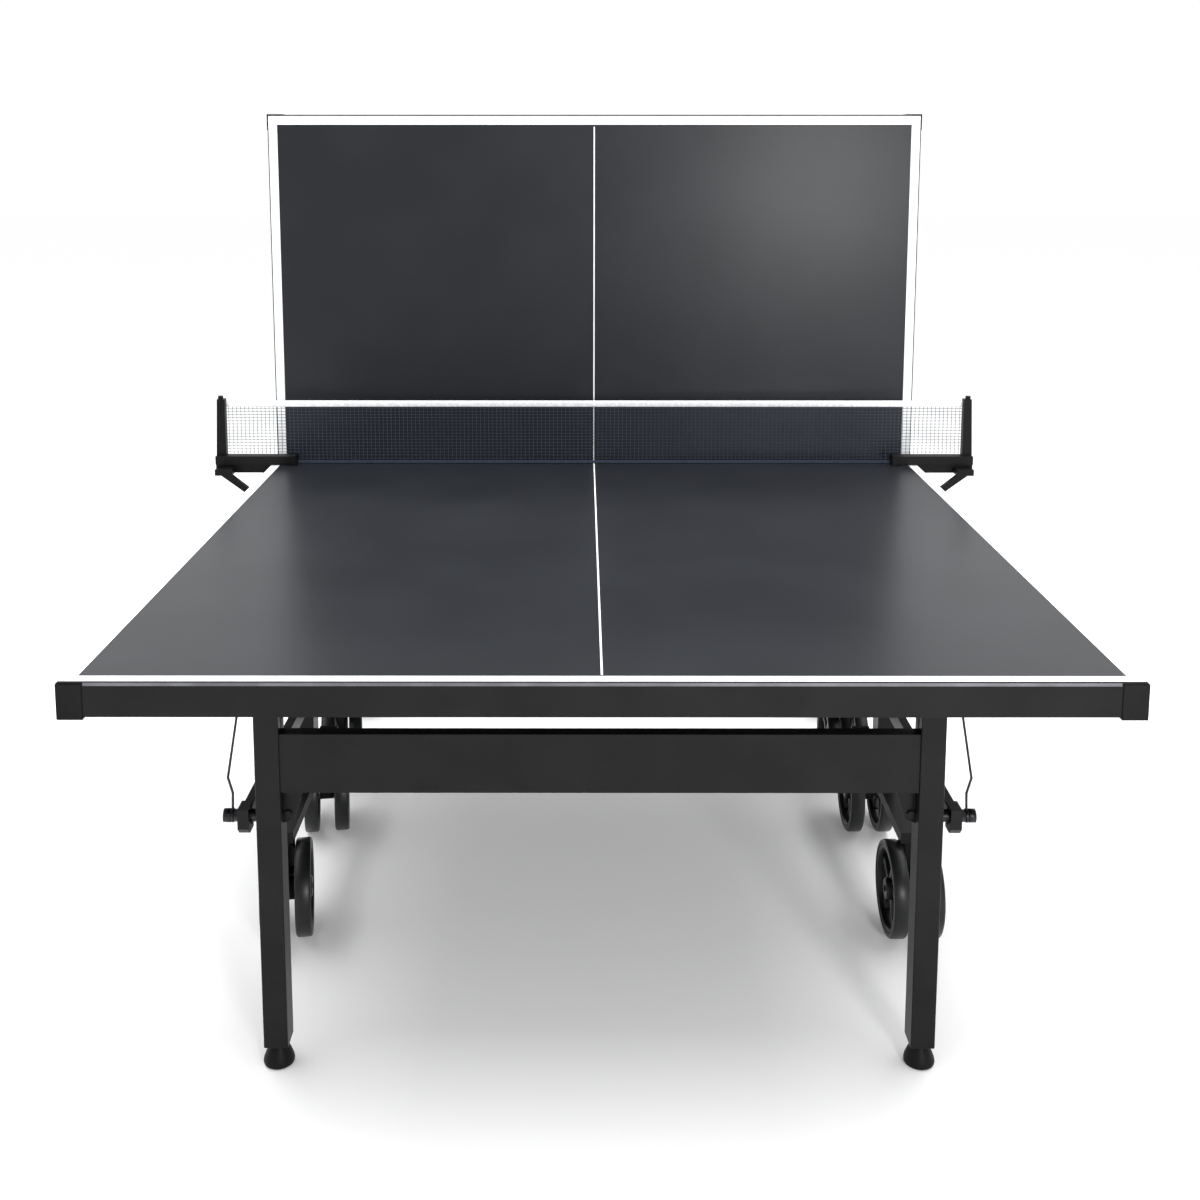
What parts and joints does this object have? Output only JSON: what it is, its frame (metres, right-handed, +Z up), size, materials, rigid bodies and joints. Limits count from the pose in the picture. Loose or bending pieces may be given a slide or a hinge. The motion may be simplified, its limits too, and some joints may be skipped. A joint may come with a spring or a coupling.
{
  "type": "table tennis table",
  "caption": "Folding roll-away table tennis table in playback position, with one half flat and the other upright behind the clamped net.",
  "frame": {"origin": "centre of the bounding box on the floor", "axes": "+X to the right across the table, +Y along the table away from the player's end, +Z up"},
  "size_m": [1.786, 1.8618, 1.58],
  "materials": {
    "playing_board": "charcoal matt lacquer with white border and centre lines",
    "powder_coat": "satin black powder coat",
    "black_steel": "black oxide steel",
    "black_plastic": "fine moulded texture",
    "wheel": "moulded black castor wheel",
    "net_fabric": "knotted cotton mesh with a white top tape"
  },
  "bodies": {
    "front_trolley": {"front_trolley_left": "powder_coat", "front_trolley_right": "powder_coat", "front_cross_tube": "powder_coat", "front_trolley_pins": "black_steel"},
    "front_top": {"front_board": "playing_board", "front_apron_rails": "powder_coat", "front_cross_rails": "powder_coat", "front_corner_caps": "black_plastic", "front_hinge_brackets": "powder_coat", "net": "net_fabric", "net_post_left": "black_plastic", "net_post_right": "black_plastic", "net_clamp_left": "black_plastic", "net_clamp_right": "black_plastic"},
    "front_legs": {"front_leg_left": "powder_coat", "front_leg_right": "powder_coat", "front_leg_beam": "powder_coat", "front_leg_pins": "black_steel", "front_stay_wires": "black_steel"},
    "front_links": {"front_link_left": "powder_coat", "front_link_right": "powder_coat"},
    "front_foot_left": {"front_foot_left": "black_plastic"},
    "front_castor_end_left": {"front_castor_end_left": "black_plastic"},
    "front_wheels_end_left": {"front_wheels_end_left": "wheel"},
    "front_castor_net_left": {"front_castor_net_left": "black_plastic"},
    "front_wheels_net_left": {"front_wheels_net_left": "wheel"},
    "front_foot_right": {"front_foot_right": "black_plastic"},
    "front_castor_end_right": {"front_castor_end_right": "black_plastic"},
    "front_wheels_end_right": {"front_wheels_end_right": "wheel"},
    "front_castor_net_right": {"front_castor_net_right": "black_plastic"},
    "front_wheels_net_right": {"front_wheels_net_right": "wheel"},
    "rear_trolley": {"rear_trolley_left": "powder_coat", "rear_trolley_right": "powder_coat", "rear_cross_tube": "powder_coat", "rear_trolley_pins": "black_steel"},
    "rear_top": {"rear_board": "playing_board", "rear_apron_rails": "powder_coat", "rear_cross_rails": "powder_coat", "rear_corner_caps": "black_plastic", "rear_hinge_brackets": "powder_coat"},
    "rear_legs": {"rear_leg_left": "powder_coat", "rear_leg_right": "powder_coat", "rear_leg_beam": "powder_coat", "rear_leg_pins": "black_steel", "rear_stay_wires": "black_steel"},
    "rear_links": {"rear_link_left": "powder_coat", "rear_link_right": "powder_coat"},
    "rear_foot_left": {"rear_foot_left": "black_plastic"},
    "rear_castor_end_left": {"rear_castor_end_left": "black_plastic"},
    "rear_wheels_end_left": {"rear_wheels_end_left": "wheel"},
    "rear_castor_net_left": {"rear_castor_net_left": "black_plastic"},
    "rear_wheels_net_left": {"rear_wheels_net_left": "wheel"},
    "rear_foot_right": {"rear_foot_right": "black_plastic"},
    "rear_castor_end_right": {"rear_castor_end_right": "black_plastic"},
    "rear_wheels_end_right": {"rear_wheels_end_right": "wheel"},
    "rear_castor_net_right": {"rear_castor_net_right": "black_plastic"},
    "rear_wheels_net_right": {"rear_wheels_net_right": "wheel"},
    "clamp_screw_left": {"clamp_screw_left": "black_steel"},
    "clamp_screw_right": {"clamp_screw_right": "black_steel"}
  },
  "joints": [
    {"name": "fold_front", "type": "hinge", "parent": "front_trolley", "child": "front_top", "pos_m": [0, -0.03191, 0.681], "axis": [-1, 0, 0], "range_deg": [0, 90]},
    {"name": "legs_front", "type": "hinge", "parent": "front_top", "child": "front_legs", "pos_m": [0, -0.67092, 0.681], "axis": [-1, 0, 0], "range_deg": [-90, 0]},
    {"name": "links_front", "type": "hinge", "parent": "front_trolley", "child": "front_links", "pos_m": [0, -0.03191, 0.433], "axis": [-1, 0, 0], "range_deg": [0, 90]},
    {"name": "roll_rear", "type": "slide", "parent": "front_trolley", "child": "rear_trolley", "axis": [0, 1, 0], "range_m": [0, 0.374]},
    {"name": "fold_rear", "type": "hinge", "parent": "rear_trolley", "child": "rear_top", "pos_m": [0, 0.58408, 0.681], "axis": [-1, 0, 0], "range_deg": [0, 90]},
    {"name": "legs_rear", "type": "hinge", "parent": "rear_top", "child": "rear_legs", "pos_m": [0, 0.58408, 1.32], "axis": [-1, 0, 0], "range_deg": [-90, 0]},
    {"name": "links_rear", "type": "hinge", "parent": "rear_trolley", "child": "rear_links", "pos_m": [0, 0.58408, 0.433], "axis": [-1, 0, 0], "range_deg": [0, 90]},
    {"name": "swivel_front_end_left", "type": "hinge", "parent": "front_trolley", "child": "front_castor_end_left", "pos_m": [-0.602, -0.24291, 0.18], "axis": [0, 0, 1], "continuous": true},
    {"name": "wheel_front_end_left", "type": "hinge", "parent": "front_castor_end_left", "child": "front_wheels_end_left", "pos_m": [-0.59574, -0.28242, 0.09], "axis": [0.9877, 0.1564, 0], "continuous": true},
    {"name": "swivel_front_end_right", "type": "hinge", "parent": "front_trolley", "child": "front_castor_end_right", "pos_m": [0.602, -0.24291, 0.18], "axis": [0, 0, 1], "continuous": true},
    {"name": "wheel_front_end_right", "type": "hinge", "parent": "front_castor_end_right", "child": "front_wheels_end_right", "pos_m": [0.602, -0.28292, 0.09], "axis": [1, 0, 0], "continuous": true},
    {"name": "swivel_front_net_left", "type": "hinge", "parent": "front_trolley", "child": "front_castor_net_left", "pos_m": [-0.602, 0.17908, 0.18], "axis": [0, 0, 1], "continuous": true},
    {"name": "wheel_front_net_left", "type": "hinge", "parent": "front_castor_net_left", "child": "front_wheels_net_left", "pos_m": [-0.59574, 0.13958, 0.09], "axis": [0.9877, 0.1564, 0], "continuous": true},
    {"name": "swivel_front_net_right", "type": "hinge", "parent": "front_trolley", "child": "front_castor_net_right", "pos_m": [0.602, 0.17908, 0.18], "axis": [0, 0, 1], "continuous": true},
    {"name": "wheel_front_net_right", "type": "hinge", "parent": "front_castor_net_right", "child": "front_wheels_net_right", "pos_m": [0.602, 0.13908, 0.09], "axis": [1, 0, 0], "continuous": true},
    {"name": "swivel_rear_end_left", "type": "hinge", "parent": "rear_trolley", "child": "rear_castor_end_left", "pos_m": [-0.602, 0.79509, 0.18], "axis": [0, 0, 1], "continuous": true},
    {"name": "wheel_rear_end_left", "type": "hinge", "parent": "rear_castor_end_left", "child": "rear_wheels_end_left", "pos_m": [-0.60826, 0.83459, 0.09], "axis": [0.9877, 0.1564, 0], "continuous": true},
    {"name": "swivel_rear_end_right", "type": "hinge", "parent": "rear_trolley", "child": "rear_castor_end_right", "pos_m": [0.602, 0.79509, 0.18], "axis": [0, 0, 1], "continuous": true},
    {"name": "wheel_rear_end_right", "type": "hinge", "parent": "rear_castor_end_right", "child": "rear_wheels_end_right", "pos_m": [0.602, 0.83508, 0.09], "axis": [1, 0, 0], "continuous": true},
    {"name": "swivel_rear_net_left", "type": "hinge", "parent": "rear_trolley", "child": "rear_castor_net_left", "pos_m": [-0.602, 0.37308, 0.18], "axis": [0, 0, 1], "continuous": true},
    {"name": "wheel_rear_net_left", "type": "hinge", "parent": "rear_castor_net_left", "child": "rear_wheels_net_left", "pos_m": [-0.60826, 0.41259, 0.09], "axis": [0.9877, 0.1564, 0], "continuous": true},
    {"name": "swivel_rear_net_right", "type": "hinge", "parent": "rear_trolley", "child": "rear_castor_net_right", "pos_m": [0.602, 0.37308, 0.18], "axis": [0, 0, 1], "continuous": true},
    {"name": "wheel_rear_net_right", "type": "hinge", "parent": "rear_castor_net_right", "child": "rear_wheels_net_right", "pos_m": [0.602, 0.41308, 0.09], "axis": [1, 0, 0], "continuous": true},
    {"name": "level_front_left", "type": "slide", "parent": "front_legs", "child": "front_foot_left", "axis": [0, 0, -1], "range_m": [0, 0.01]},
    {"name": "level_front_right", "type": "slide", "parent": "front_legs", "child": "front_foot_right", "axis": [0, 0, -1], "range_m": [0, 0.01]},
    {"name": "level_rear_left", "type": "slide", "parent": "rear_legs", "child": "rear_foot_left", "axis": [0, 0, -1], "range_m": [0, 0.01]},
    {"name": "level_rear_right", "type": "slide", "parent": "rear_legs", "child": "rear_foot_right", "axis": [0, 0, -1], "range_m": [0, 0.01]},
    {"name": "screw_left", "type": "slide", "parent": "front_top", "child": "clamp_screw_left", "axis": [0, 0, -1], "range_m": [0, 0.012]},
    {"name": "screw_right", "type": "slide", "parent": "front_top", "child": "clamp_screw_right", "axis": [0, 0, -1], "range_m": [0, 0.012]}
  ],
  "couplings": [
    {"joint": "legs_front", "follows": "fold_front", "ratio": -1},
    {"joint": "links_front", "follows": "fold_front", "ratio": 1},
    {"joint": "legs_rear", "follows": "fold_rear", "ratio": -1},
    {"joint": "links_rear", "follows": "fold_rear", "ratio": 1},
    {"joint": "roll_rear", "follows": "fold_rear", "m_per_rad": 0.2381}
  ]
}
